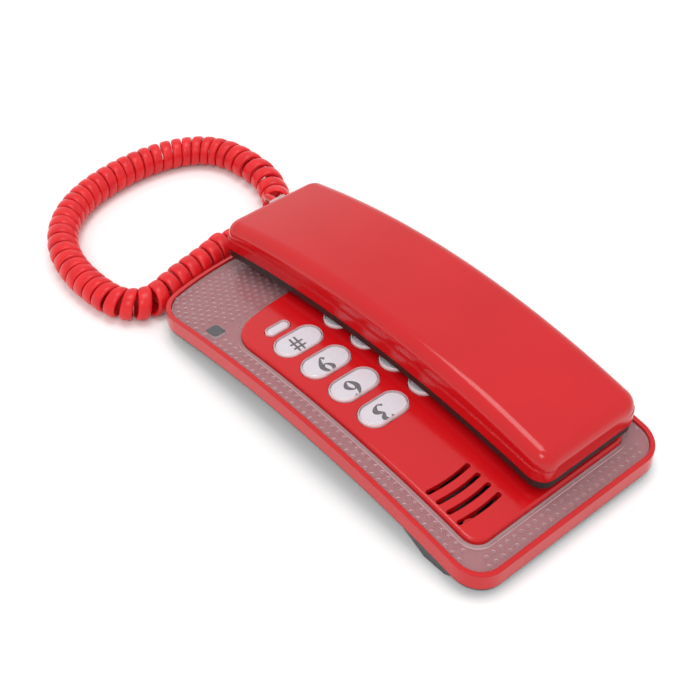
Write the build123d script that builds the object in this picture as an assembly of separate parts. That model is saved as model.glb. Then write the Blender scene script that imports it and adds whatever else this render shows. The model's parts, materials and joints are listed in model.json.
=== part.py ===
"""Slimline wall telephone: an arched base with a keypad, a lift-off handset and a curly cord.

The phone lies on its back on a table. +Z points out of its face and the table is z = 0. +Y points
to the top end, where the sounder slots are, and the cords leave at the -Y end. +X is the right side
as the phone is read. The origin is the middle of the phone's footprint. All sizes are millimetres.
"""
from build123d import *
from math import pi, radians, sqrt, tan
import os

# ---- driving dimensions of the base ----
BASE_LENGTH = 182.0
BASE_WIDTH = 93.0
TOP_CORNER_R = 11.0
CORD_CORNER_R = 17.0
CORD_END_BOW = 8.6          # how far the cord end bulges from its corners to its middle
RIM_MID_Z = 19.1            # height of the rim at the middle of the arch
ARCH_SAG = 9.1              # how much lower the rim is at both ends
RIM_WIDTH = 1.8
WALL = 2.0
PANEL_WALL = 1.8

# levels measured square to the arch from the top of the rim
PANEL_LEVEL = 1.6
PANEL_CEILING = PANEL_LEVEL - PANEL_WALL
PLATE_TOP = -0.9
PLATE_LIP_TOP = -0.3
PLATE_SEAT = -2.3
SEAT_CEILING = -3.9
COVER_TOP = -6.2
COVER_BOTTOM = -7.2

PANEL_HALF_WIDTH = 37.4
PANEL_TOP_Y = 80.6
PANEL_CORD_Y = -51.6
PANEL_CORD_BOW = 5.6
PANEL_TOP_R = 6.0
PANEL_CORD_R = 14.0
LIP_WIDTH = 1.3
FIT_GAP = 0.15

# ---- keys ----
KEY_GRID_X = -0.9
KEY_COLUMN_PITCH = 23.6
KEY_ROW_PITCH = 15.27
KEY_FIRST_ROW_Y = -24.95
KEY_LENGTH = 20.0
KEY_WIDTH = 11.2
KEY_RISE = 1.4              # cap above the panel
KEY_TRAVEL = 1.0
KEY_HOLE_GAP = 0.3
CAP_SKIRT = 1.2             # cap below the panel surface
CAP_WALL = 0.75
CAP_ROOF = 0.9
FLANGE_GROWTH = 0.9
FLANGE_THICKNESS = 1.0
STEM_BOTTOM_Z = 14.6
STEM_LENGTH_X = 8.0
STEM_WIDTH_Y = 4.0
KEY_NAMES = [["star", "0", "hash"], ["7", "8", "9"], ["4", "5", "6"], ["1", "2", "3"]]
FUNCTION_NAMES = ["flash", "redial", "mute"]
FUNCTION_Y = -36.0
FUNCTION_LENGTH = 10.4
FUNCTION_WIDTH = 4.6

# ---- sounder slots ----
SLOT_COUNT = 4
SLOT_FIRST_Y = 56.4
SLOT_PITCH = 4.85
SLOT_X = (17.0, 35.0)
SLOT_WIDTH = 1.9
SLOT_BOW = 0.6
SOUNDER_AT = (22.8, 62.3)
SOUNDER_R = 10.2
SOUNDER_TOP_Z = 12.2

# ---- indicator window in the clear plate ----
WINDOW_X = 38.6
WINDOW_Y = -54.3
WINDOW_SIZE = (5.5, 6.5)
WINDOW_R = 1.4

# ---- bottom tray, boards and bracket ----
TRAY_HALF_X = 34.0
TRAY_HALF_Y = 62.0
TRAY_BOTTOM_Z = 5.0
TRAY_WALL = 1.6
BOARD_BOTTOM_Z = 9.0
BOARD_THICKNESS = 1.6
BRACKET_THICKNESS = 2.4
BRACKET_HALF_X = 28.0
BRACKET_Y = (-68.0, 76.0)
FOOT_HALF_X = 44.8
FOOT_PROFILE_Y = (54.5, 65.5, 75.0, 79.0)   # front top, front bottom, back bottom, back top
PAD_THICKNESS = 0.8
KEYHOLE_SPACING = 82.6
KEYHOLE_ENTRY_R = 4.75
KEYHOLE_SLOT_R = 2.3
KEYHOLE_RUN = 9.0

# ---- hook switch ----
HOOK_X = -16.6
HOOK_Y = 55.2
HOOK_R = 3.5
HOOK_TRAVEL = 3.0
HOOK_TOP_Z = 17.3

# ---- handset ----
HANDSET_X = -16.6
HANDSET_Y = -4.7
HANDSET_LENGTH = 171.5
HANDSET_WIDTH = 49.6
HANDSET_CORNER_R = 6.5
HANDSET_CREST_Y = -1.5
HANDSET_TOP_Z = 39.8
HANDSET_TOP_R = 350.0
HANDSET_EDGE_R = 5.5
PARTING_LEVEL = 7.7
GRIP_LEVEL = 4.0
EAR_LEVEL = 1.95
MOUTH_LEVEL = 1.4
MOUTH_PAD_LEVEL = -0.5
CREASE_LEVEL = PARTING_LEVEL + 4.4
CREASE_STEP = 0.7
LOWER_INSET = 0.6
SHELL_WALL = 1.8
EAR_BOSS_Y = (46.0, 79.0)
MOUTH_BOSS_Y = (-86.0, -57.0)
BOSS_INSET_X = 3.0
RECEIVER_Y = 61.5
RECEIVER_R = 12.5
MICROPHONE_Y = -68.0
MICROPHONE_R = 5.0
HANDSET_SCREW_Y = (36.0, -46.0)

# ---- curly cord ----
COIL_DIAMETER = 12.8
TAIL_DIAMETER = 2.5
JACK_X = -22.0
JACK_Z = 22.6
PLUG_OUT = 2.55
RELIEF_X = -31.5
RELIEF_Z = 4.0
BOOT_LENGTH = 6.0
LYING_Z = 6.6               # middle of the coil where it lies on the table

LEAD_ROUTE = [
    (-22.0, -93.0, 22.6),
    (-22.0, -97.9, 22.6),
    (-23.2, -102.3, 19.8),
    (-26.6, -104.9, 14.6),
    (-31.4, -107.4, 9.4),
    (-36.4, -111.2, LYING_Z),
    (-39.2, -118.1, LYING_Z),
]
COIL_ROUTE = [
    (-39.2, -118.1, LYING_Z),
    (-42.95, -127.34, LYING_Z),
    (-43.1, -139.0, LYING_Z),
    (-42.0, -150.9, LYING_Z),
    (-36.4, -161.7, LYING_Z),
    (-25.9, -168.6, LYING_Z),
    (-11.4, -172.2, LYING_Z),
    (6.6, -172.0, LYING_Z),
    (24.5, -167.9, LYING_Z),
    (39.3, -159.3, LYING_Z),
    (49.6, -145.9, LYING_Z),
    (54.4, -129.9, LYING_Z),
    (54.9, -114.2, LYING_Z),
    (53.2, -100.7, LYING_Z),
    (47.4, -93.8, LYING_Z),
    (39.8, -91.8, LYING_Z),
    (27.5, -95.6, LYING_Z),
    (12.0, -98.4, LYING_Z),
    (-2.0, -102.0, LYING_Z),
    (-11.0, -104.8, LYING_Z),
]
TAIL_ROUTE = [
    (-11.0, -104.8, LYING_Z),
    (-18.2, -107.04, LYING_Z),
    (-26.0, -107.6, 4.9),
    (-31.5, -102.6, 4.0),
    (-31.5, -94.5, 4.0),
]


# ---- arch helpers ----
ARCH_R = ((BASE_LENGTH / 2) ** 2 + ARCH_SAG ** 2) / (2 * ARCH_SAG)


def circle_z(y, radius, crown_z):
    """Height of an arc with its crown at crown_z, y away from the crown."""
    return crown_z - radius + sqrt(radius ** 2 - y ** 2)


def arch_z(level, y):
    """Height at y of the surface that lies level above the rim, square to the arch."""
    return circle_z(y, ARCH_R + level, RIM_MID_Z + level)


def edge_across(height, reach):
    """The arc, or the straight line where it is level, that height(y) draws over the reach."""
    start, middle, end = (Vector(0, y, height(y)) for y in (-reach, 0, reach))
    if abs(start.Z - middle.Z) < 0.001:
        return Line(start, end)
    return ThreePointArc(start, middle, end)


def area_between(low_height, high_height, reach=125.0, half_width=80.0):
    """A block across the phone, bounded below and above by two heights that depend on y."""
    low = edge_across(low_height, reach)
    high = edge_across(high_height, reach)
    edges = [low, Line(low @ 1, high @ 1), high, Line(high @ 0, low @ 0)]
    return extrude(make_face(edges), half_width, dir=(1, 0, 0), both=True)


def arch_band(low, high):
    """The slab of the arch between two levels."""
    return area_between(lambda y: arch_z(low, y), lambda y: arch_z(high, y))


def upright(sketch, low=-5.0, high=60.0):
    """A plan outline pulled straight up from z = low to z = high."""
    return extrude(Pos(0, 0, low) * sketch, high - low)


def bowed_outline(half_width, top_y, cord_y, bow, top_r, cord_r):
    """A plan outline with round corners, whose cord end bulges by bow."""
    corner_y = cord_y + bow
    edges = [
        Line((half_width, corner_y), (half_width, top_y)),
        Line((half_width, top_y), (-half_width, top_y)),
        Line((-half_width, top_y), (-half_width, corner_y)),
        ThreePointArc((-half_width, corner_y), (0, cord_y), (half_width, corner_y)),
    ]
    outline = make_face(edges)
    outline = fillet(outline.vertices().sort_by(Axis.Y)[-2:], top_r)
    return fillet(outline.vertices().sort_by(Axis.Y)[:2], cord_r)


def base_outline(inset=0.0):
    """The base's outline, or the same outline drawn in by inset."""
    return bowed_outline(BASE_WIDTH / 2 - inset, BASE_LENGTH / 2 - inset, -BASE_LENGTH / 2 + inset,
                         CORD_END_BOW, TOP_CORNER_R - inset, CORD_CORNER_R - inset)


def panel_outline(inset=0.0):
    """The raised centre panel's outline."""
    return bowed_outline(PANEL_HALF_WIDTH - inset, PANEL_TOP_Y - inset, PANEL_CORD_Y + inset,
                         PANEL_CORD_BOW, PANEL_TOP_R - inset, PANEL_CORD_R - inset)


def peg(x, y, radius, low, high):
    """An upright round post."""
    return Pos(x, y, (low + high) / 2) * Cylinder(radius, high - low)


def block(x, y, low, high, size_x, size_y):
    """An upright box centred at x, y."""
    return Pos(x, y, (low + high) / 2) * Box(size_x, size_y, high - low)


def stadium(x, y, length, width, low, high):
    """An upright block with round ends, long across the phone."""
    return upright(Pos(x, y) * SlotOverall(length, width), low, high)


# ---- places that several parts share ----
def key_places():
    """Name, x and y of every digit key."""
    places = []
    for row, names in enumerate(KEY_NAMES):
        for column, name in enumerate(names):
            x = KEY_GRID_X + (column - 1) * KEY_COLUMN_PITCH
            places.append((name, x, KEY_FIRST_ROW_Y + row * KEY_ROW_PITCH))
    return places


def function_places():
    """Name, x and y of every function key."""
    return [(name, (i - 1) * KEY_COLUMN_PITCH, FUNCTION_Y) for i, name in enumerate(FUNCTION_NAMES)]


CASE_SCREWS = [(32.0, 73.5), (-32.0, 73.5), (25.0, -45.0), (-25.0, -45.0)]
BOARD_POSTS = [(28.0, 46.0), (-28.0, 46.0), (28.0, -47.0), (-28.0, -47.0)]
CORD_FEET = [(28.0, -74.0), (-28.0, -74.0)]
RINGER_SWITCH_Y = 24.0
SWITCH_SLOT_LEVELS = (-5.3, -2.7)
GLAND_X = 20.0
GLAND_Y = -88.0


# ---- base ----
def sounder_slots():
    """The slots above the ringer sounder, each slightly bowed."""
    slots = []
    for i in range(SLOT_COUNT):
        y = SLOT_FIRST_Y + i * SLOT_PITCH
        middle = (sum(SLOT_X) / 2, y + SLOT_BOW)
        path = ThreePointArc((SLOT_X[0], y), middle, (SLOT_X[1], y))
        slots.append(upright(SlotArc(path, SLOT_WIDTH)))
    return slots


def sounder_collar():
    """The ring under the slots that the sounder is set against."""
    ring = peg(*SOUNDER_AT, SOUNDER_R + 0.8, 0, 60) - peg(*SOUNDER_AT, SOUNDER_R - 1.2, 0, 60)
    return ring & area_between(lambda y: SOUNDER_TOP_Z + 0.05, lambda y: arch_z(PANEL_CEILING + 0.4, y))


def relief_notch():
    """The notch in the cord end for the strain relief, with a wider pocket behind the wall."""
    inner_y = TAIL_ROUTE[-1][1] + BOOT_LENGTH + 6.0
    return block(RELIEF_X, inner_y - 6.0, 0.0, 6.2, 5.2, 10.0) + block(RELIEF_X, inner_y, 0.0, 6.2, 8.4, 2.8)


def gland_notch():
    """The notch in the cord end for the line cord's gland, with a wider pocket behind the wall."""
    return block(GLAND_X, GLAND_Y, 0.0, 6.4, 6.2, 8.0) + block(GLAND_X, GLAND_Y + 3.1, 0.0, 6.4, 9.0, 2.2)


def base_housing():
    shell = upright(base_outline()) & arch_band(COVER_TOP, 0.0)
    panel = upright(panel_outline()) & arch_band(SEAT_CEILING, PANEL_LEVEL)
    panel = fillet(panel.faces().sort_by(Axis.Z)[-1].edges(), 1.1)
    shell -= upright(base_outline(RIM_WIDTH)) & arch_band(PLATE_SEAT, 2.0)
    shell += panel
    shell -= upright(base_outline(WALL)) & arch_band(COVER_TOP - 2.0, SEAT_CEILING)
    shell -= upright(panel_outline(PANEL_WALL)) & arch_band(COVER_TOP - 2.0, PANEL_CEILING)
    shell += sounder_collar()
    for slot in sounder_slots():
        shell -= slot
    for _, x, y in key_places():
        shell -= stadium(x, y, KEY_LENGTH + 2 * KEY_HOLE_GAP, KEY_WIDTH + 2 * KEY_HOLE_GAP, 0, 60)
    for _, x, y in function_places():
        shell -= stadium(x, y, FUNCTION_LENGTH + 2 * KEY_HOLE_GAP, FUNCTION_WIDTH + 2 * KEY_HOLE_GAP, 0, 60)
    shell -= peg(HOOK_X, HOOK_Y, HOOK_R + 0.3, 0, 60)
    window = Pos(WINDOW_X, WINDOW_Y) * RectangleRounded(*WINDOW_SIZE, WINDOW_R)
    shell -= upright(window)
    shell -= relief_notch()
    shell -= gland_notch()
    slot_low, slot_high = (arch_z(level, RINGER_SWITCH_Y) for level in SWITCH_SLOT_LEVELS)
    shell -= block(-BASE_WIDTH / 2, RINGER_SWITCH_Y, slot_low, slot_high, 10.0, 9.6)
    posts = []
    for x, y in CASE_SCREWS:
        post = peg(x, y, 2.9, 0, 60) & arch_band(COVER_TOP + 0.1, PANEL_CEILING + 0.5)
        posts.append(post - peg(x, y, 1.1, 0, arch_z(PANEL_CEILING - 1.0, y)))
    for post in posts:
        shell += post
    return shell


def clear_frame_plate():
    """The clear frame plate around the panel, with a low lip along its inner edge."""
    outside = upright(base_outline(RIM_WIDTH + FIT_GAP))
    inside = upright(panel_outline(-FIT_GAP))
    lip = upright(panel_outline(-FIT_GAP - LIP_WIDTH)) & arch_band(PLATE_SEAT + 0.05, PLATE_LIP_TOP)
    plate = (outside & arch_band(PLATE_SEAT + 0.05, PLATE_TOP)) + lip
    window = Pos(WINDOW_X, WINDOW_Y) * RectangleRounded(*WINDOW_SIZE, WINDOW_R)
    return plate - inside - upright(window)


def indicator_lens():
    sketch = RectangleRounded(WINDOW_SIZE[0] - 0.3, WINDOW_SIZE[1] - 0.3, WINDOW_R - 0.15)
    return upright(Pos(WINDOW_X, WINDOW_Y) * sketch) & arch_band(SEAT_CEILING + 0.1, PLATE_TOP - 0.15)


def indicator_lamp():
    low = arch_z(COVER_TOP, WINDOW_Y) + 0.4
    return block(WINDOW_X, WINDOW_Y, low, low + 1.3, 3.2, 3.2)


def bottom_cover():
    """The dark cover that closes the base, with a tray for the board under the arch."""
    cover = upright(base_outline(0.4)) & arch_band(COVER_BOTTOM, COVER_TOP)
    tray = block(0, 0, TRAY_BOTTOM_Z, 40.0, 2 * TRAY_HALF_X, 2 * TRAY_HALF_Y)
    tray &= area_between(lambda y: 0.0, lambda y: arch_z(COVER_TOP, y))
    tray = fillet(tray.edges().filter_by(Axis.Z), 4.0)
    cover += tray
    cover -= block(0, 0, TRAY_BOTTOM_Z + TRAY_WALL, 40.0,
                   2 * (TRAY_HALF_X - TRAY_WALL), 2 * (TRAY_HALF_Y - TRAY_WALL))
    for x, y in BOARD_POSTS:
        cover += peg(x, y, 2.5, TRAY_BOTTOM_Z + 0.5, BOARD_BOTTOM_Z - 0.05)
    for x, y in CASE_SCREWS:
        if y > 0:
            cover -= peg(x, y, 1.4, 0, 30)
        else:
            cover += peg(x, y, 3.4, TRAY_BOTTOM_Z + 0.5, arch_z(COVER_TOP, y) - 0.6)
            cover -= peg(x, y, 1.4, 0, 30)
    cover -= relief_notch()
    cover -= gland_notch()
    return cover


def case_screws():
    """Four pan-head screws, from below into the housing's posts."""
    screws = []
    for x, y in CASE_SCREWS:
        seat = arch_z(COVER_BOTTOM, y) - 0.8 if y > 0 else TRAY_BOTTOM_Z - 0.1
        head = peg(x, y, 2.4, seat - 1.3, seat)
        shank = peg(x, y, 1.0, seat - 0.2, seat + 6.2)
        socket = block(x, y, seat - 1.4, seat - 0.7, 2.6, 0.6) + block(x, y, seat - 1.4, seat - 0.7, 0.6, 2.6)
        screws.append(head + shank - socket)
    return Compound(screws)


def main_board():
    board = block(0, 0, BOARD_BOTTOM_Z, BOARD_BOTTOM_Z + BOARD_THICKNESS, 62.0, 99.0)
    for x, y in CASE_SCREWS[2:]:
        board -= peg(x, y, 4.2, 0, 30)
    for x, y in BOARD_POSTS:
        board -= peg(x, y, 1.1, 0, 30)
    return board


def keypad_mat():
    """The rubber mat on the board, with a dome under every key."""
    low = BOARD_BOTTOM_Z + BOARD_THICKNESS + 0.05
    mat = block(0, -6.5, low, low + 0.9, 60.0, 74.0)
    for x, y in CASE_SCREWS[2:]:
        mat -= peg(x, y, 4.2, 0, 30)
    for _, x, y in key_places() + function_places():
        mat += Pos(x, y, low + 0.4) * Cone(4.4, 2.6, 2.4, align=(Align.CENTER, Align.CENTER, Align.MIN))
    return mat


def key_insert(x, y, length, width):
    """The white label block of a key, with its flange under the panel and its stem."""
    surface = arch_z(PANEL_LEVEL, y)
    low_ceiling = min(arch_z(PANEL_CEILING, y - width / 2 - 1), arch_z(PANEL_CEILING, y + width / 2 + 1))
    flange_top = low_ceiling - 0.15
    top = surface + KEY_RISE - CAP_ROOF - 0.05
    inset = CAP_WALL + 0.05
    pillar = stadium(x, y, length - 2 * inset, width - 2 * inset, flange_top - 0.5, top)
    flange = stadium(x, y, length + 2 * FLANGE_GROWTH, width + 2 * FLANGE_GROWTH,
                     flange_top - FLANGE_THICKNESS, flange_top)
    stem_x = min(STEM_LENGTH_X, length - 4)
    stem = block(x, y, STEM_BOTTOM_Z, flange_top - 0.5, stem_x, min(STEM_WIDTH_Y, width - 2))
    return pillar + flange + stem


def key_cap(x, y, length, width):
    """The clear cap that fits over a key's label block."""
    surface = arch_z(PANEL_LEVEL, y)
    skirt = surface - CAP_SKIRT
    cap = stadium(x, y, length, width, skirt, surface + KEY_RISE)
    cap = fillet(cap.faces().sort_by(Axis.Z)[-1].edges(), 1.0)
    return cap - stadium(x, y, length - 2 * CAP_WALL, width - 2 * CAP_WALL, skirt - 1,
                         surface + KEY_RISE - CAP_ROOF)


def ringer_sounder():
    """The flat sounder under the slots, with its rim and centre port."""
    disc = peg(*SOUNDER_AT, SOUNDER_R, SOUNDER_TOP_Z - 2.9, SOUNDER_TOP_Z)
    disc -= peg(*SOUNDER_AT, SOUNDER_R - 1.6, SOUNDER_TOP_Z - 0.8, SOUNDER_TOP_Z + 1)
    return disc + peg(*SOUNDER_AT, 3.0, SOUNDER_TOP_Z - 1.6, SOUNDER_TOP_Z - 0.2)


def hook_plunger():
    """The plunger that the handset holds down."""
    pin = peg(HOOK_X, HOOK_Y, HOOK_R, 9.9, HOOK_TOP_Z)
    pin = fillet(pin.faces().sort_by(Axis.Z)[-1].edges(), 0.8)
    return pin + peg(HOOK_X, HOOK_Y, HOOK_R + 1.5, 11.0, 12.0)


def hook_switch():
    body = block(HOOK_X, HOOK_Y, TRAY_BOTTOM_Z + TRAY_WALL + 0.05, 9.6, 13.0, 6.5)
    return body + block(HOOK_X - 5.0, HOOK_Y - 4.5, TRAY_BOTTOM_Z + TRAY_WALL + 0.05, 7.6, 1.0, 3.5)


def ringer_switch():
    """The slider of the ringer switch in the left wall."""
    middle_z = arch_z(-4.0, RINGER_SWITCH_Y)
    wall_x = -BASE_WIDTH / 2
    knob = block(wall_x + 2.0, RINGER_SWITCH_Y, middle_z - 1.0, middle_z + 0.9, 3.0, 4.2)
    flange = block(wall_x + WALL + 1.2, RINGER_SWITCH_Y, middle_z - 1.5, middle_z - 0.6, 1.4, 10.0)
    ribs = [block(wall_x + 0.35, RINGER_SWITCH_Y + step, middle_z - 0.8, middle_z + 0.7, 0.5, 0.5)
            for step in (-1.2, 0.0, 1.2)]
    return knob + flange + ribs


def wall_bracket():
    """The dark grey desk and wall bracket: a keyhole plate and a foot that shows at both sides."""
    plate = block(0, sum(BRACKET_Y) / 2, PAD_THICKNESS, PAD_THICKNESS + BRACKET_THICKNESS,
                  2 * BRACKET_HALF_X, BRACKET_Y[1] - BRACKET_Y[0])
    plate = fillet(plate.edges().filter_by(Axis.Z), 5.0)
    front_top, front_low, back_low, back_top = FOOT_PROFILE_Y
    outline = Polyline((0, front_top, 30), (0, front_top, arch_z(COVER_BOTTOM, front_top) - 2.2),
                       (0, front_low, PAD_THICKNESS), (0, back_low, PAD_THICKNESS),
                       (0, back_top, PAD_THICKNESS + 2.5), (0, back_top, 30), close=True)
    foot = extrude(make_face(outline), FOOT_HALF_X, dir=(1, 0, 0), both=True)
    foot &= area_between(lambda y: -5.0, lambda y: arch_z(COVER_BOTTOM, y) - 0.05)
    foot = fillet(foot.edges().filter_by(Axis.Z), 1.2)
    foot -= block(0, 66.5, 0, PAD_THICKNESS + BRACKET_THICKNESS - 0.01, 2 * BRACKET_HALF_X - 8, 30.0)
    foot -= block(0, 57.0, 4.5, 30.0, 2 * TRAY_HALF_X + 0.4, 2 * (TRAY_HALF_Y - 57.0) + 0.4)
    bracket = plate + foot
    for x, y in CASE_SCREWS[:2]:
        bracket -= peg(x, y, 3.2, 0, 30)
    for side in (-1, 1):
        for y in (-30.0, 48.0):
            bracket += block(side * 22.0, y, PAD_THICKNESS + 1.0, TRAY_BOTTOM_Z - 0.05, 8.0, 8.0)
    for y in (-KEYHOLE_SPACING / 2, KEYHOLE_SPACING / 2):
        bracket -= peg(0, y, KEYHOLE_ENTRY_R, 0, 4.5)
        slot = Pos(0, y + KEYHOLE_RUN / 2) * Rot(0, 0, 90) * SlotCenterToCenter(KEYHOLE_RUN, 2 * KEYHOLE_SLOT_R)
        bracket -= upright(slot, 0, 4.5)
    return bracket


def rubber_feet():
    """Two tall feet at the cord end and two thin pads under the bracket's foot."""
    feet = []
    for x, y in CORD_FEET:
        top = arch_z(COVER_BOTTOM, y - 5.0) - 0.05
        feet.append(Pos(x, y, 0) * Cone(4.2, 5.0, top, align=(Align.CENTER, Align.CENTER, Align.MIN)))
    middle_y = (FOOT_PROFILE_Y[1] + FOOT_PROFILE_Y[2]) / 2
    for side in (-1, 1):
        feet.append(block(side * 37.0, middle_y, 0, PAD_THICKNESS - 0.02, 11.0, 7.0))
    return Compound(feet)


def line_cord_gland():
    """The rubber gland for the line cord, blind because the phone has no line cord fitted."""
    low, high = 2.1, 6.2
    neck = block(GLAND_X, GLAND_Y, low, high, 5.8, 4.4)
    inside = block(GLAND_X, GLAND_Y + 3.1, low, high, 8.6, 1.8)
    socket = Pos(GLAND_X, GLAND_Y - 2.2, (low + high) / 2) * Rot(90, 0, 0) * Cylinder(1.4, 5.0)
    return neck + inside - socket


# ---- handset ----
def handset_outline(inset=0.0):
    sketch = RectangleRounded(HANDSET_WIDTH - 2 * inset, HANDSET_LENGTH - 2 * inset, HANDSET_CORNER_R - inset)
    return Pos(HANDSET_X, HANDSET_Y) * sketch


def handset_crest_outline():
    """The outline above the crease, drawn in along both sides but not at the ends."""
    sketch = RectangleRounded(HANDSET_WIDTH - 2 * CREASE_STEP, HANDSET_LENGTH, HANDSET_CORNER_R)
    return Pos(HANDSET_X, HANDSET_Y) * sketch


def handset_top_z(y, drop=0.0):
    """Height of the handset's back, or of a surface drop below it."""
    return circle_z(y - HANDSET_CREST_Y, HANDSET_TOP_R - drop, HANDSET_TOP_Z - drop)


def jack_mouth():
    """The opening in the handset's cord end for the modular plug."""
    return Pos(JACK_X, HANDSET_Y - HANDSET_LENGTH / 2, JACK_Z) * Box(8.4, 8.0, 7.0)


def handset_upper_shell():
    crest = area_between(lambda y: arch_z(PARTING_LEVEL, y), lambda y: handset_top_z(y))
    lower_band = upright(handset_outline()) & arch_band(PARTING_LEVEL, CREASE_LEVEL)
    body = upright(handset_crest_outline()) & crest
    body = fillet(body.faces().sort_by(Axis.Z)[-1].edges(), HANDSET_EDGE_R)
    shell = body + lower_band
    cavity = area_between(lambda y: arch_z(PARTING_LEVEL - 3.0, y), lambda y: handset_top_z(y, SHELL_WALL + 0.2))
    hollow = upright(handset_outline(SHELL_WALL + CREASE_STEP)) & cavity
    shell -= fillet(hollow.faces().sort_by(Axis.Z)[-1].edges(), HANDSET_EDGE_R - SHELL_WALL)
    shell -= jack_mouth()
    for y in HANDSET_SCREW_Y:
        post = peg(HANDSET_X, y, 3.0, 0, 60) & area_between(
            lambda v: arch_z(GRIP_LEVEL + SHELL_WALL + 0.1, v), lambda v: handset_top_z(v, SHELL_WALL))
        shell += post - peg(HANDSET_X, y, 1.1, 0, handset_top_z(y) - 4.0)
    return shell


def handset_lower_shell():
    """The black underside, with the ear and mouth bosses and their holes."""
    outside = upright(handset_outline(LOWER_INSET)) & arch_band(GRIP_LEVEL, PARTING_LEVEL - 0.02)
    hollow = upright(handset_outline(LOWER_INSET + SHELL_WALL)) & arch_band(GRIP_LEVEL + SHELL_WALL, PARTING_LEVEL + 2)
    width = HANDSET_WIDTH - 2 * BOSS_INSET_X
    bosses = ((EAR_BOSS_Y, EAR_LEVEL), (MOUTH_BOSS_Y, MOUTH_LEVEL))
    for (low_y, high_y), level in bosses:
        size = high_y - low_y
        plan = Pos(HANDSET_X, (low_y + high_y) / 2) * RectangleRounded(width, size, 8.0)
        pocket = Pos(HANDSET_X, (low_y + high_y) / 2) * RectangleRounded(width - 4, size - 4, 6.0)
        outside += upright(plan) & arch_band(level, GRIP_LEVEL + 1.0)
        hollow += upright(pocket) & arch_band(level + SHELL_WALL, PARTING_LEVEL + 2)
    rest_pad = Pos(HANDSET_X, MICROPHONE_Y) * RectangleRounded(30.0, 14.0, 5.0)
    outside += upright(rest_pad) & arch_band(MOUTH_PAD_LEVEL, MOUTH_LEVEL + 0.5)
    shell = outside - hollow
    for column in range(-2, 3):
        for row in range(-2, 3):
            if abs(column) + abs(row) < 4:
                shell -= peg(HANDSET_X + 3.6 * column, RECEIVER_Y + 3.6 * row, 0.8, 0, 60)
    for column in range(-1, 2):
        shell -= peg(HANDSET_X + 3.0 * column, MICROPHONE_Y, 0.8, 0, 60)
    for y in HANDSET_SCREW_Y:
        shell -= peg(HANDSET_X, y, 1.4, 0, 60)
        shell -= peg(HANDSET_X, y, 2.7, 0, arch_z(GRIP_LEVEL, y) + 0.8)
    return shell


def handset_screws():
    screws = []
    for y in HANDSET_SCREW_Y:
        seat = arch_z(GRIP_LEVEL, y) + 0.75
        head = peg(HANDSET_X, y, 2.3, seat - 0.7, seat)
        shank = peg(HANDSET_X, y, 1.0, seat - 0.2, seat + 7.0)
        screws.append(head + shank - block(HANDSET_X, y, seat - 0.8, seat - 0.35, 3.0, 0.6))
    return Compound(screws)


def receiver():
    """The receiver capsule over the ear holes."""
    low = 20.6
    can = peg(HANDSET_X, RECEIVER_Y, RECEIVER_R, low, low + 5.4)
    can = fillet(can.faces().sort_by(Axis.Z)[-1].edges(), 1.2)
    can += peg(HANDSET_X, RECEIVER_Y, 5.0, low + 5.0, low + 6.6)
    return can - peg(HANDSET_X, RECEIVER_Y, 9.0, low - 1, low + 0.8)


def microphone():
    low = 18.2
    can = peg(HANDSET_X, MICROPHONE_Y, MICROPHONE_R, low, low + 4.8)
    return can - peg(HANDSET_X, MICROPHONE_Y, 1.2, low - 1, low + 1.0)


def balance_weight():
    bar = block(HANDSET_X, -5.0, 26.0, 31.0, 22.0, 56.0)
    bar = fillet(bar.edges().filter_by(Axis.Z), 2.0)
    return bar


def handset_jack():
    """The modular jack inside the handset's cord end."""
    front_y = HANDSET_Y - HANDSET_LENGTH / 2 + SHELL_WALL + CREASE_STEP + 1.5
    depth = 11.0
    body = block(JACK_X, front_y + depth / 2, JACK_Z - 4.4, JACK_Z + 3.9, 11.4, depth)
    return body - block(JACK_X, front_y + 4.4, JACK_Z - 3.4, JACK_Z + 3.0, 8.2, 9.0)


# ---- curly cord ----
def modular_plug():
    """The plug of the curly cord, seated in the handset's jack, with its latch."""
    back_y = HANDSET_Y - HANDSET_LENGTH / 2 - PLUG_OUT
    body = block(JACK_X, back_y + 5.9, JACK_Z - 2.6, JACK_Z + 2.6, 7.6, 11.8)
    body = fillet(body.edges().filter_by(Axis.Y), 0.5)
    latch = block(JACK_X, back_y + 6.5, JACK_Z - 3.2, JACK_Z - 2.5, 3.2, 9.0)
    return body + latch


def strain_relief():
    """The rubber strain relief that holds the curly cord in the base's cord end."""
    boot_tip_y = TAIL_ROUTE[-1][1]
    wall_y = boot_tip_y + BOOT_LENGTH
    boot = Pos(RELIEF_X, boot_tip_y, RELIEF_Z) * Rot(-90, 0, 0) * Cone(
        1.8, 2.1, BOOT_LENGTH + 1.0, align=(Align.CENTER, Align.CENTER, Align.MIN))
    neck = block(RELIEF_X, wall_y + 2.2, 1.9, 6.05, 4.8, 5.2)
    inside = block(RELIEF_X, wall_y + 6.0, 1.9, 6.05, 8.0, 2.4)
    return boot + neck + inside


def corner_radii(points):
    """The largest tangent arc that each corner's two runs allow."""
    radii = []
    for before, here, after in zip(points, points[1:], points[2:]):
        run_in = Vector(*here) - Vector(*before)
        run_out = Vector(*after) - Vector(*here)
        half_turn = radians(run_in.get_angle(run_out)) / 2
        radii.append(0.45 * min(run_in.length, run_out.length) / tan(half_turn))
    return radii


def cord_tube(points, diameter):
    """A round tube along straight runs joined by tangent arcs."""
    path = FilletPolyline(*points, radius=corner_radii(points))
    start = Plane(origin=path @ 0, z_dir=path % 0)
    tube = sweep(start * Circle(diameter / 2), path)
    expected = pi * (diameter / 2) ** 2 * path.length
    print(f"cord tube {diameter} mm: length {path.length:.1f}, volume ratio {tube.volume / expected:.4f},"
          f" radii {[round(r, 1) for r in corner_radii(points)]}")
    return tube


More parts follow.
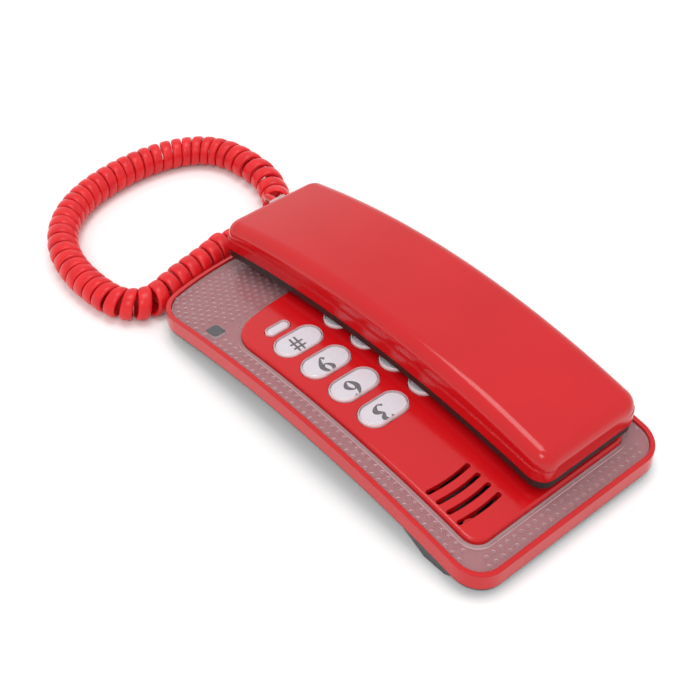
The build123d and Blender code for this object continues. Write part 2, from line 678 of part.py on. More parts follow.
# ---- all nodes ----
def all_nodes():
    nodes = {
        "base_housing": base_housing(),
        "clear_frame_plate": clear_frame_plate(),
        "indicator_lens": indicator_lens(),
        "indicator_lamp": indicator_lamp(),
        "bottom_cover": bottom_cover(),
        "case_screws": case_screws(),
        "main_board": main_board(),
        "keypad_mat": keypad_mat(),
        "ringer_sounder": ringer_sounder(),
        "hook_plunger": hook_plunger(),
        "hook_switch": hook_switch(),
        "ringer_switch": ringer_switch(),
        "wall_bracket": wall_bracket(),
        "rubber_feet": rubber_feet(),
        "line_cord_gland": line_cord_gland(),
        "handset_upper_shell": handset_upper_shell(),
        "handset_lower_shell": handset_lower_shell(),
        "handset_screws": handset_screws(),
        "receiver": receiver(),
        "microphone": microphone(),
        "balance_weight": balance_weight(),
        "handset_jack": handset_jack(),
        "modular_plug": modular_plug(),
        "strain_relief": strain_relief(),
        "cord_lead": cord_tube(LEAD_ROUTE, TAIL_DIAMETER),
        "cord_coil": cord_tube(COIL_ROUTE, COIL_DIAMETER),
        "cord_tail": cord_tube(TAIL_ROUTE, TAIL_DIAMETER),
    }
    for name, x, y in key_places():
        nodes[f"key_{name}_cap"] = key_cap(x, y, KEY_LENGTH, KEY_WIDTH)
        nodes[f"key_{name}_label"] = key_insert(x, y, KEY_LENGTH, KEY_WIDTH)
    for name, x, y in function_places():
        nodes[f"key_{name}_cap"] = key_cap(x, y, FUNCTION_LENGTH, FUNCTION_WIDTH)
        nodes[f"key_{name}_label"] = key_insert(x, y, FUNCTION_LENGTH, FUNCTION_WIDTH)
    return nodes


os.makedirs("parts", exist_ok=True)
for node, shape in all_nodes().items():
    export_step(shape, f"parts/{node}.step")
    print(f"{node:24s} solids {len(shape.solids())} volume {shape.volume:9.1f}")
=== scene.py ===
"""Looks of the slimline wall telephone: camera, light, curly cord, digits, dimples and materials."""
import bpy
import json
from math import cos, pi, radians, sin, sqrt
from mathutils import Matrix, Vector


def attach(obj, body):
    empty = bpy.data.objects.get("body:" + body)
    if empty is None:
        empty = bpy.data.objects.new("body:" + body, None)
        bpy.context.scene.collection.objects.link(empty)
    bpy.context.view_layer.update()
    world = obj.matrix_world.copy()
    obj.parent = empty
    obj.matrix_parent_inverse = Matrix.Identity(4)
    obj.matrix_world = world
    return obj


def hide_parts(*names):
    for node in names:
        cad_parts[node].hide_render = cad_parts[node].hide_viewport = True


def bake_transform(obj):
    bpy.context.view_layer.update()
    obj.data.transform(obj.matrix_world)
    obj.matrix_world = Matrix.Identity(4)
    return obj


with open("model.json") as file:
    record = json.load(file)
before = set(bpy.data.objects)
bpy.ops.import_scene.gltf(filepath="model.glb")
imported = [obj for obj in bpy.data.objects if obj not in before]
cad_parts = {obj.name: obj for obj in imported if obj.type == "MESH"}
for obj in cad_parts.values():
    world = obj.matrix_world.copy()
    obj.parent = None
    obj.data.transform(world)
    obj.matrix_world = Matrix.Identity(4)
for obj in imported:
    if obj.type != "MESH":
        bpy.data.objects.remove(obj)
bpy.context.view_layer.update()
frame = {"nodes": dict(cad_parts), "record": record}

MM = 0.001

# ---- camera: where it stands, how it is turned and how long its lens is ----
CAMERA_PLACE = Vector((239.7, 252.2, 343.0)) * MM
CAMERA_AZIMUTH = radians(48.9)
CAMERA_ELEVATION = radians(42.94)
CAMERA_LENS = 67.7
CAMERA_SENSOR = 36.0
CAMERA_CLIP = 10.0 * MM

# ---- studio ----
WORLD_STRENGTH = 0.95
# name, place in metres, side in metres and power in watts of each square soft box
SOFTBOXES = [("softbox_top", (-0.05, -0.10, 1.15), 0.55, 4), ("softbox_front", (0.70, 0.45, 0.95), 0.4, 2.5)]
FLOOR_REACH = 3.0
FLOOR_COLOUR = (0.93, 0.93, 0.93)

# ---- the base's arch, as in the CAD model ----
RIM_MID_Z = 19.1 * MM
ARCH_SAG = 9.1 * MM
BASE_HALF_LENGTH = 91.0 * MM
ARCH_R = (BASE_HALF_LENGTH ** 2 + ARCH_SAG ** 2) / (2 * ARCH_SAG)
PANEL_LEVEL = 1.6 * MM
PLATE_TOP = -0.9 * MM

# ---- curly cord: its route is the one in the CAD model, in millimetres ----
LYING_Z = 6.6
CORD_ROUTE = [
    (-22.0, -93.0, 22.6),
    (-22.0, -97.9, 22.6),
    (-23.2, -102.3, 19.8),
    (-26.6, -104.9, 14.6),
    (-31.4, -107.4, 9.4),
    (-36.4, -111.2, LYING_Z),
    (-39.2, -118.1, LYING_Z),
    (-42.95, -127.34, LYING_Z),
    (-43.1, -139.0, LYING_Z),
    (-42.0, -150.9, LYING_Z),
    (-36.4, -161.7, LYING_Z),
    (-25.9, -168.6, LYING_Z),
    (-11.4, -172.2, LYING_Z),
    (6.6, -172.0, LYING_Z),
    (24.5, -167.9, LYING_Z),
    (39.3, -159.3, LYING_Z),
    (49.6, -145.9, LYING_Z),
    (54.4, -129.9, LYING_Z),
    (54.9, -114.2, LYING_Z),
    (53.2, -100.7, LYING_Z),
    (47.4, -93.8, LYING_Z),
    (39.8, -91.8, LYING_Z),
    (27.5, -95.6, LYING_Z),
    (12.0, -98.4, LYING_Z),
    (-2.0, -102.0, LYING_Z),
    (-11.0, -104.8, LYING_Z),
    (-18.2, -107.04, LYING_Z),
    (-26.0, -107.6, 4.9),
    (-31.5, -102.6, 4.0),
    (-31.5, -94.5, 4.0),
]
COIL_DIAMETER = 12.8 * MM
WIRE_WIDTH = 5.5 * MM           # the flat cable, wound with its wide side out
WIRE_THICKNESS = 2.4 * MM
WIRE_ROUND = 2.5 * MM           # the cable's thickness where it is straight
WIRE_SQUARENESS = 0.75          # 1 gives the wire an oval section, and less a squarer one
COIL_START = 22.0 * MM          # along the cord, from the plug
COIL_END = 291.0 * MM
COIL_EASE = 5 * MM              # the length in which the coil opens out to its full diameter
SPLIT_AT = 96.0 * MM            # the cord's two pieces meet here
TURN_FILL = 0.93                # the wire's greatest width, as a share of the distance between turns
INNER_TURN_FILL = 0.95          # the same where turns crowd on the inside of a bend
# distance along the coil and the distance between turns there, both in millimetres
TURN_PITCH = [(0, 6.5), (16, 7.6), (26, 8.0), (36, 7.2), (46, 5.9), (56, 4.9), (68, 4.6), (84, 5.1),
              (116, 5.5), (131, 5.1), (146, 5.6), (161, 6.2), (181, 5.5), (206, 5.3), (216, 5.6),
              (226, 6.5), (241, 6.1), (269, 6.2)]
# how much, how fast and from where the distance between turns wavers along the coil
PITCH_WAVES = [(0.035, 0.41, 0.0), (0.025, 0.93, 1.7)]
TURN_STEPS = 28
STRAIGHT_STEP = 0.8 * MM
WIRE_SIDES = 14

# ---- keys ----
KEY_COLUMN_PITCH = 23.6 * MM
KEY_ROW_PITCH = 15.27 * MM
KEY_GRID_X = -0.9 * MM
KEY_FIRST_ROW_Y = -24.95 * MM
LABEL_ABOVE_PANEL = 0.45 * MM
INK_ABOVE_LABEL = 0.02 * MM
KEY_NAMES = [["star", "0", "hash"], ["7", "8", "9"], ["4", "5", "6"], ["1", "2", "3"]]
DIGIT_HEIGHT = 8.4 * MM
DIGIT_SHIFT = (1.2 * MM, 1.4 * MM)
DIGIT_MIDDLE = (0.33, 0.5)
STROKE_WEIGHT = 1.25

# strokes of each digit in a box one unit high: x, y and the stroke's width at each point
DIGIT_STROKES = {
    "1": [[(0.16, 0.80, 0.05), (0.36, 0.98, 0.08)],
          [(0.36, 1.0, 0.17), (0.36, 0.0, 0.17)],
          [(0.14, 0.02, 0.05), (0.58, 0.02, 0.05)]],
    "2": [[(0.12, 0.74, 0.14), (0.30, 0.97, 0.07), (0.53, 0.78, 0.18), (0.40, 0.46, 0.12),
           (0.10, 0.08, 0.05)],
          [(0.08, 0.06, 0.13), (0.60, 0.06, 0.13)]],
    "3": [[(0.10, 0.84, 0.11), (0.29, 0.97, 0.06), (0.50, 0.77, 0.19), (0.30, 0.54, 0.06)],
          [(0.30, 0.54, 0.06), (0.56, 0.29, 0.21), (0.30, 0.03, 0.06), (0.08, 0.15, 0.11)]],
    "4": [[(0.46, 0.98, 0.06), (0.04, 0.30, 0.06)],
          [(0.04, 0.30, 0.06), (0.62, 0.30, 0.06)],
          [(0.45, 1.0, 0.16), (0.45, 0.0, 0.16)],
          [(0.28, 0.02, 0.05), (0.62, 0.02, 0.05)]],
    "5": [[(0.17, 0.94, 0.06), (0.15, 0.56, 0.06)],
          [(0.17, 0.93, 0.12), (0.54, 0.93, 0.12)],
          [(0.15, 0.56, 0.05), (0.38, 0.62, 0.08), (0.57, 0.34, 0.19), (0.32, 0.03, 0.06),
           (0.09, 0.18, 0.15)]],
    "6": [[(0.54, 0.84, 0.13), (0.40, 0.97, 0.06), (0.13, 0.45, 0.19), (0.34, 0.03, 0.06),
           (0.56, 0.29, 0.17), (0.36, 0.57, 0.06), (0.18, 0.42, 0.06)]],
    "7": [[(0.07, 0.91, 0.15), (0.60, 0.91, 0.15)],
          [(0.57, 0.88, 0.06), (0.33, 0.42, 0.12), (0.28, 0.0, 0.18)]],
    "8": [[(0.33, 0.54, 0.08), (0.13, 0.76, 0.14), (0.33, 0.97, 0.05), (0.53, 0.76, 0.14),
           (0.33, 0.54, 0.08)],
          [(0.33, 0.54, 0.08), (0.08, 0.27, 0.16), (0.33, 0.03, 0.05), (0.58, 0.27, 0.16),
           (0.33, 0.54, 0.08)]],
    "9": [[(0.12, 0.16, 0.13), (0.26, 0.03, 0.06), (0.53, 0.55, 0.19), (0.32, 0.97, 0.06),
           (0.10, 0.71, 0.17), (0.30, 0.43, 0.06), (0.48, 0.58, 0.06)]],
    "0": [[(0.33, 0.98, 0.06), (0.08, 0.5, 0.18), (0.33, 0.02, 0.06), (0.58, 0.5, 0.18),
           (0.33, 0.98, 0.06)]],
    "hash": [[(0.20, 0.0, 0.08), (0.28, 1.0, 0.08)],
             [(0.44, 0.0, 0.08), (0.52, 1.0, 0.08)],
             [(0.02, 0.64, 0.08), (0.68, 0.64, 0.08)],
             [(0.0, 0.36, 0.08), (0.66, 0.36, 0.08)]],
    "star": [[(0.33, 0.25, 0.10), (0.33, 0.75, 0.10)],
             [(0.12, 0.37, 0.10), (0.54, 0.63, 0.10)],
             [(0.12, 0.63, 0.10), (0.54, 0.37, 0.10)]],
}

# ---- dimples of the clear frame plate ----
DIMPLE_PITCH = 3.2 * MM
DIMPLE_ROW_STEP = DIMPLE_PITCH * 0.87
DIMPLE_R = 0.85 * MM
DIMPLE_HEIGHT = 0.34 * MM
# rings of a dimple, from its foot up, as shares of its radius and of its height
DIMPLE_RINGS = ((1.0, -0.10), (0.92, 0.28), (0.70, 0.66), (0.38, 0.92))
DIMPLE_SIDES = 12
SIDE_ROWS_X = (40.0 * MM, 43.3 * MM)
SIDE_ROWS_Y = (-50.0 * MM, 80.0 * MM)
TOP_ROWS_Y = (84.2 * MM, 87.0 * MM)
TOP_ROWS_HALF_X = 38.0 * MM
FIELD_Y = (-83.0 * MM, -54.0 * MM)
FIELD_HALF_X = 43.4 * MM
FIELD_SLACK = 0.1 * MM
CORNER_FROM_X = 29.0 * MM       # beyond this the field's edge bends away from the plate's round corner
CORNER_WIDTH = 15.0 * MM
CORNER_DEPTH = 9.0 * MM
CORNER_FOOT_Y = -86.0 * MM
WINDOW_PLACE = (38.6 * MM, -54.3 * MM)
WINDOW_CLEAR = (4.4 * MM, 4.9 * MM)

# ---- materials ----
PAINTED_EDGE_HIGHLIGHT = (0.90, 0.74, 0.76)     # painted highlight: clear plastic's faces that turn away get this pale colour in place of the bright edges that light gives them
PLASTICS = {                        # colour and roughness of each plain moulded slot
    "smoke_lens": ((0.060, 0.060, 0.064), 0.2),
    "dark_plastic": ((0.016, 0.012, 0.012), 0.42),
    "black_plastic": ((0.014, 0.010, 0.010), 0.30),
    "grey_plastic": ((0.045, 0.050, 0.052), 0.45),
    "grey_rubber": ((0.30, 0.30, 0.31), 0.6),
    "black_rubber": ((0.010, 0.010, 0.010), 0.7),
    "board": ((0.16, 0.09, 0.03), 0.5),
}
METALS = {                          # colour and roughness of each metal slot
    "steel": ((0.62, 0.62, 0.64), 0.3),
    "capsule_metal": ((0.72, 0.72, 0.74), 0.35),
}
CLEARS = {                          # colour, roughness and cover, face on and at edges, of each clear slot; at edges the colour turns to the painted edge highlight
    "clear_tint": ((0.32, 0.27, 0.29), 0.07, 0.33, 0.75),
    "lamp": ((0.7, 0.1, 0.06), 0.2, 0.8, 0.8),
    "clear_plug": ((0.9, 0.9, 0.9), 0.1, 0.35, 0.7),
    "clear_cap": ((0.75, 0.68, 0.72), 0.06, 0.08, 0.80),
}
SHADOWLESS_SLOTS = ("clear_tint", "clear_cap")
INK_COLOUR = (0.006, 0.006, 0.007)


def arch_z(level, y):
    """Height at y of the surface that lies level above the rim of the arched base."""
    radius = ARCH_R + level
    return RIM_MID_Z + level - radius + sqrt(radius ** 2 - y ** 2)


# ---- camera and light ----
def add_camera():
    data = bpy.data.cameras.new("camera")
    data.lens = CAMERA_LENS
    data.sensor_width = CAMERA_SENSOR
    data.clip_start = CAMERA_CLIP
    camera = bpy.data.objects.new("camera", data)
    bpy.context.scene.collection.objects.link(camera)
    level = cos(CAMERA_ELEVATION)
    towards_camera = Vector((
        level * cos(CAMERA_AZIMUTH),
        level * sin(CAMERA_AZIMUTH),
        sin(CAMERA_ELEVATION)))
    camera.location = CAMERA_PLACE
    camera.rotation_euler = (-towards_camera).to_track_quat("-Z", "Y").to_euler()
    bpy.context.scene.camera = camera


def add_softbox(name, place, side, power):
    """A square area light that looks at the origin."""
    data = bpy.data.lights.new(name, "AREA")
    data.shape = "RECTANGLE"
    data.size = side
    data.size_y = side
    data.energy = power
    light = bpy.data.objects.new(name, data)
    bpy.context.scene.collection.objects.link(light)
    light.location = Vector(place)
    light.rotation_euler = (-Vector(place)).to_track_quat("-Z", "Y").to_euler()


def add_studio():
    world = bpy.data.worlds.new("studio")
    bpy.context.scene.world = world
    world.use_nodes = True
    background = world.node_tree.nodes["Background"]
    background.inputs["Color"].default_value = (1.0, 1.0, 1.0, 1)
    background.inputs["Strength"].default_value = WORLD_STRENGTH
    for softbox in SOFTBOXES:
        add_softbox(*softbox)
    floor_mesh = bpy.data.meshes.new("floor")
    corners = [(FLOOR_REACH * x, FLOOR_REACH * y, 0) for x, y in ((-1, -1), (1, -1), (1, 1), (-1, 1))]
    floor_mesh.from_pydata(corners, [], [(0, 1, 2, 3)])
    floor = bpy.data.objects.new("floor", floor_mesh)
    bpy.context.scene.collection.objects.link(floor)
    floor_mesh.materials.append(plain_material("floor", FLOOR_COLOUR, 0.9)[0])
    bpy.context.scene.view_settings.view_transform = "Standard"


# ---- materials ----
def plain_material(name, colour, roughness):
    """A Principled material, and its shader, for the functions below to build on."""
    material = bpy.data.materials.new(name)
    material.use_nodes = True
    shader = material.node_tree.nodes["Principled BSDF"]
    shader.inputs["Base Color"].default_value = (*colour, 1)
    shader.inputs["Roughness"].default_value = roughness
    return material, shader


def add_noise(material, scale, detail=3.0):
    noise = material.node_tree.nodes.new("ShaderNodeTexNoise")
    noise.inputs["Scale"].default_value = scale
    noise.inputs["Detail"].default_value = detail
    place = material.node_tree.nodes.new("ShaderNodeTexCoord")
    material.node_tree.links.new(place.outputs["Object"], noise.inputs["Vector"])
    return noise


def add_bump(material, shader, scale, height, strength=0.3, edge=0.0):
    """A fine surface grain, over edges rounded by the shader where edge is a radius."""
    nodes, links = material.node_tree.nodes, material.node_tree.links
    noise = add_noise(material, scale)
    bump = nodes.new("ShaderNodeBump")
    bump.inputs["Strength"].default_value = strength
    bump.inputs["Distance"].default_value = height
    links.new(noise.outputs["Fac"], bump.inputs["Height"])
    if edge:
        bevel = nodes.new("ShaderNodeBevel")
        bevel.samples = 4
        bevel.inputs["Radius"].default_value = edge
        links.new(bevel.outputs["Normal"], bump.inputs["Normal"])
    links.new(bump.outputs["Normal"], shader.inputs["Normal"])


def vary_roughness(material, shader, scale, low, high):
    nodes, links = material.node_tree.nodes, material.node_tree.links
    noise = add_noise(material, scale)
    spread = nodes.new("ShaderNodeMapRange")
    spread.inputs["To Min"].default_value = low
    spread.inputs["To Max"].default_value = high
    links.new(noise.outputs["Fac"], spread.inputs["Value"])
    links.new(spread.outputs["Result"], shader.inputs["Roughness"])


def vary_colour(material, shader, scale, dark, light):
    nodes, links = material.node_tree.nodes, material.node_tree.links
    noise = add_noise(material, scale)
    ramp = nodes.new("ShaderNodeValToRGB")
    ramp.color_ramp.elements[0].position = 0.35
    ramp.color_ramp.elements[0].color = (*dark, 1)
    ramp.color_ramp.elements[1].position = 0.65
    ramp.color_ramp.elements[1].color = (*light, 1)
    links.new(noise.outputs["Fac"], ramp.inputs["Fac"])
    links.new(ramp.outputs["Color"], shader.inputs["Base Color"])


def red_gloss_material():
    material, shader = plain_material("red_gloss", (0.50, 0.003, 0.006), 0.16)
    vary_colour(material, shader, 30, (0.49, 0.003, 0.006), (0.52, 0.004, 0.007))
    vary_roughness(material, shader, 60, 0.12, 0.19)
    add_bump(material, shader, 900, 0.00003, 0.15, edge=0.0004)
    shader.inputs["Specular IOR Level"].default_value = 0.42
    return material


def red_cord_material():
    material, shader = plain_material("red_cord", (0.66, 0.010, 0.014), 0.3)
    vary_colour(material, shader, 160, (0.60, 0.008, 0.012), (0.70, 0.012, 0.016))
    vary_roughness(material, shader, 300, 0.24, 0.36)
    add_bump(material, shader, 2200, 0.00004, 0.2)
    shader.inputs["Specular IOR Level"].default_value = 0.35
    shader.inputs["Subsurface Weight"].default_value = 0.08
    shader.inputs["Subsurface Radius"].default_value = (0.002, 0.0005, 0.0005)
    return material


def textured_plastic(name, colour, roughness, contrast=1.25):
    material, shader = plain_material(name, colour, roughness)
    lighter = tuple(contrast * c for c in colour)
    vary_colour(material, shader, 500, colour, lighter)
    vary_roughness(material, shader, 350, roughness - 0.06, roughness + 0.08)
    add_bump(material, shader, 2600, 0.00008, 0.35, edge=0.0003)
    return material


def clear_material(name, colour, roughness, alpha, rim_alpha,
                   facing=(0, 0, 1), turned=(0.95, 0.45), both_ways=True, edge=0.0003):
    """Clear plastic as a glossy skin over what lies under it, with a painted highlight: paler where it turns
    away from facing.

    With both_ways, a face turned the opposite way counts as facing too.
    """
    material, shader = plain_material(name, colour, roughness)
    shader.inputs["Alpha"].default_value = alpha
    shader.inputs["Specular IOR Level"].default_value = 1.0
    nodes, links = material.node_tree.nodes, material.node_tree.links
    surface = nodes.new("ShaderNodeNewGeometry")
    towards = nodes.new("ShaderNodeVectorMath")
    towards.operation = "DOT_PRODUCT"
    towards.inputs[1].default_value = facing
    links.new(surface.outputs["Normal"], towards.inputs[0])
    rim = nodes.new("ShaderNodeMapRange")
    rim.inputs["From Min"].default_value, rim.inputs["From Max"].default_value = turned
    if both_ways:
        either_side = nodes.new("ShaderNodeMath")
        either_side.operation = "ABSOLUTE"
        links.new(towards.outputs["Value"], either_side.inputs[0])
        links.new(either_side.outputs["Value"], rim.inputs["Value"])
    else:
        links.new(towards.outputs["Value"], rim.inputs["Value"])
    # painted highlight: faces turned away from facing shade towards the pale edge colour, in place of the
    # light that clear edges catch
    tint = nodes.new("ShaderNodeValToRGB")
    tint.color_ramp.elements[0].color = (*colour, 1)
    tint.color_ramp.elements[1].color = (*PAINTED_EDGE_HIGHLIGHT, 1)
    links.new(rim.outputs["Result"], tint.inputs["Fac"])
    links.new(tint.outputs["Color"], shader.inputs["Base Color"])
    cover = nodes.new("ShaderNodeMapRange")
    cover.inputs["To Min"].default_value = alpha
    cover.inputs["To Max"].default_value = rim_alpha
    links.new(rim.outputs["Result"], cover.inputs["Value"])
    links.new(cover.outputs["Result"], shader.inputs["Alpha"])
    add_bump(material, shader, 700, 0.00002, 0.1, edge=edge)
    return material


def metal_material(name, colour, roughness):
    material, shader = plain_material(name, colour, roughness)
    shader.inputs["Metallic"].default_value = 1.0
    vary_roughness(material, shader, 900, roughness - 0.08, roughness + 0.1)
    add_bump(material, shader, 3000, 0.00003, 0.25)
    return material


def slot_materials():
    """Every CAD slot's material, by the slot's name."""
    materials = {
        "red_gloss": red_gloss_material(),
        "red_cord": red_cord_material(),
        "label_white": textured_plastic("label_white", (0.57, 0.54, 0.58), 0.5, 1.03),
    }
    for name, values in PLASTICS.items():
        materials[name] = textured_plastic(name, *values)
    for name, values in METALS.items():
        materials[name] = metal_material(name, *values)
    for name, values in CLEARS.items():
        materials[name] = clear_material(name, *values)
    return materials


def paint_cad_nodes(materials):
    """Gives every CAD node the material of its slot."""
    for part in frame["record"]["subparts"]:
        node = frame["nodes"][part["node"]]
        node.data.materials.clear()
        node.data.materials.append(materials[part["material_slot"]])
        if part["material_slot"] in SHADOWLESS_SLOTS:
            node.visible_shadow = False


# ---- mesh helpers ----
def new_piece(name, points, faces, material, smooth=True):
    mesh = bpy.data.meshes.new(name)
    mesh.from_pydata([tuple(p) for p in points], [], faces)
    mesh.polygons.foreach_set("use_smooth", [smooth] * len(mesh.polygons))
    mesh.materials.append(material)
    mesh.update()
    piece = bpy.data.objects.new(name, mesh)
    bpy.context.scene.collection.objects.link(piece)
    return piece


def smooth_points(points, steps=10):
    """A Catmull-Rom curve through points of any dimension."""
    if len(points) == 2:
        return points
    closed = points[0] == points[-1]
    before = points[-2] if closed else points[0]
    after = points[1] if closed else points[-1]
    padded = [before, *points, after]
    out = []
    for a, b, c, d in zip(padded, padded[1:], padded[2:], padded[3:]):
        for i in range(steps):
            t = i / steps
            out.append(tuple(
                0.5 * (2 * q + (r - p) * t
                       + (2 * p - 5 * q + 4 * r - s) * t * t
                       + (3 * q - p - 3 * r + s) * t ** 3)
                for p, q, r, s in zip(a, b, c, d)))
    out.append(tuple(points[-1]))
    return out


# ---- curly cord ----
def spline_line(route):
    """Points along the NURBS spline that has the route as its control points."""
    curve = bpy.data.curves.new("cord_line", "CURVE")
    curve.dimensions = "3D"
    spline = curve.splines.new("NURBS")
    spline.points.add(len(route) - 1)
    for point, place in zip(spline.points, route):
        point.co = (place[0] * MM, place[1] * MM, place[2] * MM, 1)
    spline.order_u = 3
    spline.use_endpoint_u = True
    spline.resolution_u = 32
    holder = bpy.data.objects.new("cord_line", curve)
    mesh = bpy.data.meshes.new_from_object(holder)
    line = [v.co.copy() for v in mesh.vertices]
    bpy.data.objects.remove(holder)
    bpy.data.meshes.remove(mesh)
    bpy.data.curves.remove(curve)
    return line


class Ring:
    """One cross-section of the wire: coiled is 0 where the cord is straight and 1 in the coil."""

    def __init__(self, centre, outward, width, distance, coiled):
        self.centre = centre
        self.outward = outward
        self.width = width
        self.distance = distance
        self.coiled = coiled


class CordLine:
    """The cord's smooth line, with a frame that doesn't twist along it."""

    def __init__(self, points):
        self.points = points
        self.along = [0.0]
        for a, b in zip(points, points[1:]):
            self.along.append(self.along[-1] + (b - a).length)
        self.length = self.along[-1]
        self.tangents = []
        for i in range(len(points)):
            ahead = points[min(i + 1, len(points) - 1)]
            behind = points[max(i - 1, 0)]
            self.tangents.append((ahead - behind).normalized())
        side = self.tangents[0].cross(Vector((0, 0, 1))).normalized()
        self.sides = [side]
        for tangent in self.tangents[1:]:
            side = (side - tangent * side.dot(tangent)).normalized()
            self.sides.append(side)
        self.cursor = 0

    def at(self, distance):
        """Place, tangent and side direction at a distance; distances are asked for in rising order."""
        while self.cursor < len(self.along) - 2 and self.along[self.cursor + 1] < distance:
            self.cursor += 1
        i = self.cursor
        t = (distance - self.along[i]) / (self.along[i + 1] - self.along[i])
        place = self.points[i].lerp(self.points[i + 1], t)
        tangent = self.tangents[i].lerp(self.tangents[i + 1], t).normalized()
        side = self.sides[i].lerp(self.sides[i + 1], t)
        side = (side - tangent * side.dot(tangent)).normalized()
        return place, tangent, side


def pitch_at(distance):
    """Distance between turns, at a distance along the coil."""
    here = distance / MM
    uneven = 1 + sum(depth * sin(here * rate + start) for depth, rate, start in PITCH_WAVES)
    for (a, pitch_a), (b, pitch_b) in zip(TURN_PITCH, TURN_PITCH[1:]):
        if here <= b:
            t = max(0.0, (here - a) / (b - a))
            return (pitch_a + (pitch_b - pitch_a) * t) * MM * uneven
    return TURN_PITCH[-1][1] * MM


def ease(t):
    """A smooth step from 0 to 1."""
    t = min(1.0, max(0.0, t))
    return t * t * (3 - 2 * t)


def wire_rings():
    """The wire's cross-sections all along the cord, from the plug."""
    line = CordLine(spline_line(CORD_ROUTE))
    coil_r = (COIL_DIAMETER - WIRE_THICKNESS) / 2
    rings = []
    angle = 0.0
    distance = 0.0
    while distance < line.length:
        place, tangent, side = line.at(distance)
        coiled = ease((distance - COIL_START) / COIL_EASE) * ease((COIL_END - distance) / COIL_EASE)
        outward = side * cos(angle) + tangent.cross(side) * sin(angle)
        pitch = pitch_at(distance - COIL_START)
        width = WIRE_ROUND + (min(WIRE_WIDTH, TURN_FILL * pitch) - WIRE_ROUND) * coiled
        rings.append(Ring(place + outward * coil_r * coiled, outward, width, distance, coiled))
        if COIL_START <= distance <= COIL_END:
            angle -= 2 * pi / TURN_STEPS
            distance += pitch / TURN_STEPS
        else:
            distance += STRAIGHT_STEP
    place, tangent, side = line.at(line.length)
    outward = side * cos(angle) + tangent.cross(side) * sin(angle)
    rings.append(Ring(place, outward, WIRE_ROUND, line.length, 0.0))
    squeeze_inner_bends(rings)
    return rings


def squeeze_inner_bends(rings):
    """Narrows the wire where turns crowd together on the inside of a bend."""
    for ring, next_turn in zip(rings, rings[TURN_STEPS:]):
        if ring.coiled >= 0.99 and next_turn.coiled >= 0.99:
            gap = (next_turn.centre - ring.centre).length
            ring.width = min(ring.width, INNER_TURN_FILL * gap)


def wire_mesh(name, rings, material):
    """The flat wire's surface over a run of rings."""
    points, faces = [], []
    for i, ring in enumerate(rings):
        ahead = rings[min(i + 1, len(rings) - 1)].centre
        behind = rings[max(i - 1, 0)].centre
        forward = (ahead - behind).normalized()
        across = forward.cross(ring.outward).normalized()
        out = across.cross(forward).normalized()
        for k in range(WIRE_SIDES):
            a = 2 * pi * k / WIRE_SIDES
            ca, sa = cos(a), sin(a)
            x = abs(ca) ** WIRE_SQUARENESS * (1 if ca > 0 else -1) * ring.width / 2
            y = abs(sa) ** WIRE_SQUARENESS * (1 if sa > 0 else -1) * WIRE_THICKNESS / 2
            points.append(ring.centre + across * x + out * y)
    for i in range(len(rings) - 1):
        for k in range(WIRE_SIDES):
            a = i * WIRE_SIDES + k
            b = i * WIRE_SIDES + (k + 1) % WIRE_SIDES
            faces.append((a, b, b + WIRE_SIDES, a + WIRE_SIDES))
    faces.append(tuple(range(WIRE_SIDES))[::-1])
    last = (len(rings) - 1) * WIRE_SIDES
    faces.append(tuple(range(last, last + WIRE_SIDES)))
    return new_piece(name, points, faces, material)


def add_cord(material):
    """The curly cord in two pieces, of which the base's follows the base and the handset's stays where it
    lies.
    """
    rings = wire_rings()
    split = next(i for i, ring in enumerate(rings) if ring.distance >= SPLIT_AT)
    handset_side = rings[:split + 1][::-1]
    base_side = rings[split:][::-1]
    upper = wire_mesh("curly_cord_handset_side", handset_side, material)
    lower = wire_mesh("curly_cord_base_side", base_side, material)
    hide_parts("cord_lead")
    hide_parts("cord_coil", "cord_tail")
    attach(lower, "base")
    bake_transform(upper)


# ---- digits ----
def ribbon(stroke, points, faces):
    """Adds one flat stroke of varying width."""
    line = smooth_points(stroke)
    first = len(points)
    for i, (x, y, width) in enumerate(line):
        ahead = line[min(i + 1, len(line) - 1)]
        behind = line[max(i - 1, 0)]
        dx, dy = ahead[0] - behind[0], ahead[1] - behind[1]
        size = sqrt(dx * dx + dy * dy) or 1.0
        half = STROKE_WEIGHT * width / 2
        nx, ny = -dy / size * half, dx / size * half
        points.append((x + nx, y + ny))
        points.append((x - nx, y - ny))
    for i in range(len(line) - 1):
        a = first + 2 * i
        faces.append((a, a + 1, a + 3, a + 2))


def add_digits(material):
    for row, names in enumerate(KEY_NAMES):
        for column, name in enumerate(names):
            centre_x = KEY_GRID_X + (column - 1) * KEY_COLUMN_PITCH
            centre_y = KEY_FIRST_ROW_Y + row * KEY_ROW_PITCH
            z = arch_z(PANEL_LEVEL, centre_y) + LABEL_ABOVE_PANEL + INK_ABOVE_LABEL
            flat, faces = [], []
            for stroke in DIGIT_STROKES[name]:
                ribbon(stroke, flat, faces)
            points = [(centre_x + DIGIT_SHIFT[0] + (x - DIGIT_MIDDLE[0]) * DIGIT_HEIGHT,
                       centre_y + DIGIT_SHIFT[1] + (y - DIGIT_MIDDLE[1]) * DIGIT_HEIGHT, z) for x, y in flat]
            piece = new_piece(f"digit_{name}", points, faces, material, smooth=False)
            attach(piece, f"key_{name}")


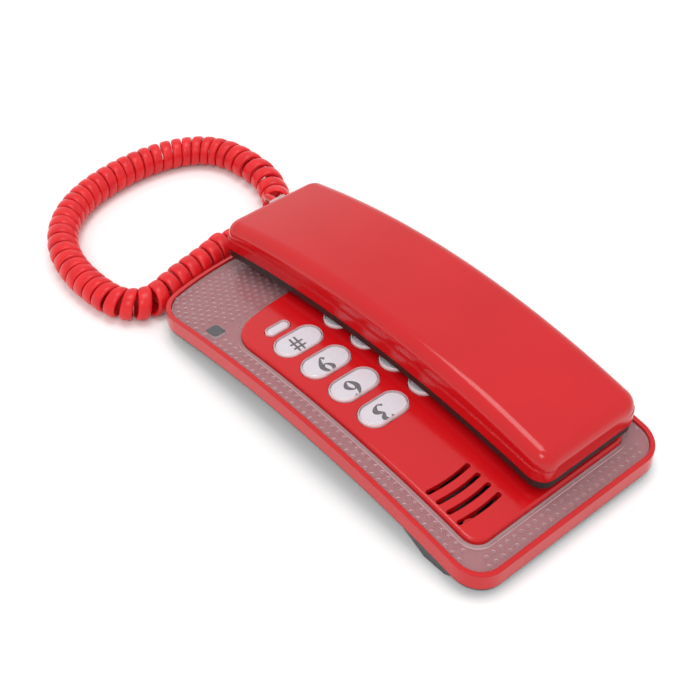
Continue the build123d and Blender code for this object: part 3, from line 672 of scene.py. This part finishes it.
# ---- dimples ----
def field_dimples():
    """Places in the wide field at the cord end, clear of the round corners and the window."""
    places = []
    row = 0
    y = FIELD_Y[0]
    count = int(2 * FIELD_HALF_X / DIMPLE_PITCH)
    while y < FIELD_Y[1]:
        for i in range(count + 1):
            x = -FIELD_HALF_X + (i + 0.5 * (row % 2)) * DIMPLE_PITCH
            corner = max(0.0, abs(x) - CORNER_FROM_X)
            clear_of_corner = y > CORNER_FOOT_Y + CORNER_DEPTH * (corner / CORNER_WIDTH) ** 2
            off_window_x = abs(x - WINDOW_PLACE[0]) >= WINDOW_CLEAR[0]
            off_window_y = abs(y - WINDOW_PLACE[1]) >= WINDOW_CLEAR[1]
            in_field = abs(x) < FIELD_HALF_X + FIELD_SLACK
            if in_field and clear_of_corner and (off_window_x or off_window_y):
                places.append((x, y))
        y += DIMPLE_ROW_STEP
        row += 1
    return places


def side_dimples():
    """Places in the two rows along each long side."""
    places = []
    count = int((SIDE_ROWS_Y[1] - SIDE_ROWS_Y[0]) / DIMPLE_PITCH)
    for side in (-1, 1):
        for i in range(count + 1):
            for k, x in enumerate(SIDE_ROWS_X):
                y = SIDE_ROWS_Y[0] + (i + 0.5 * k) * DIMPLE_PITCH
                at_window = side > 0 and abs(y - WINDOW_PLACE[1]) < WINDOW_CLEAR[1]
                if not at_window:
                    places.append((side * x, y))
    return places


def top_dimples():
    """Places in the two rows across the top end."""
    places = []
    count = int(2 * TOP_ROWS_HALF_X / DIMPLE_PITCH)
    for i in range(count + 1):
        for k, y in enumerate(TOP_ROWS_Y):
            places.append((-TOP_ROWS_HALF_X + (i + 0.5 * k) * DIMPLE_PITCH, y))
    return places


def add_dimples(material):
    """Low round lenses moulded on the clear plate."""
    points, faces = [], []
    for x, y in field_dimples() + side_dimples() + top_dimples():
        first = len(points)
        for size, height in DIMPLE_RINGS:
            for k in range(DIMPLE_SIDES):
                a = 2 * pi * k / DIMPLE_SIDES
                px = x + DIMPLE_R * size * cos(a)
                py = y + DIMPLE_R * size * sin(a)
                points.append((px, py, arch_z(PLATE_TOP, py) + DIMPLE_HEIGHT * height))
        points.append((x, y, arch_z(PLATE_TOP, y) + DIMPLE_HEIGHT))
        for ring in range(len(DIMPLE_RINGS) - 1):
            for k in range(DIMPLE_SIDES):
                a = first + ring * DIMPLE_SIDES + k
                b = first + ring * DIMPLE_SIDES + (k + 1) % DIMPLE_SIDES
                faces.append((a, b, b + DIMPLE_SIDES, a + DIMPLE_SIDES))
        peak = first + len(DIMPLE_RINGS) * DIMPLE_SIDES
        top = peak - DIMPLE_SIDES
        for k in range(DIMPLE_SIDES):
            faces.append((top + k, top + (k + 1) % DIMPLE_SIDES, peak))
    piece = new_piece("plate_dimples", points, faces, material)
    piece.visible_shadow = False
    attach(piece, "base")


# ---- the scene ----
add_camera()
materials = slot_materials()
paint_cad_nodes(materials)
add_cord(materials["red_cord"])
add_studio()
add_digits(textured_plastic("digit_ink", INK_COLOUR, 0.4))
# painted highlight: the far side of each dimple, turned away from the camera's side, is painted pale and
# opaque as the bright crescents that light draws on the lenses
add_dimples(clear_material("clear_dimple", (0.45, 0.34, 0.36), 0.04, 0.25, 1.0, both_ways=False,
                           facing=(0.60, 0.65, 0.46), turned=(0.40, -0.02), edge=0.0))
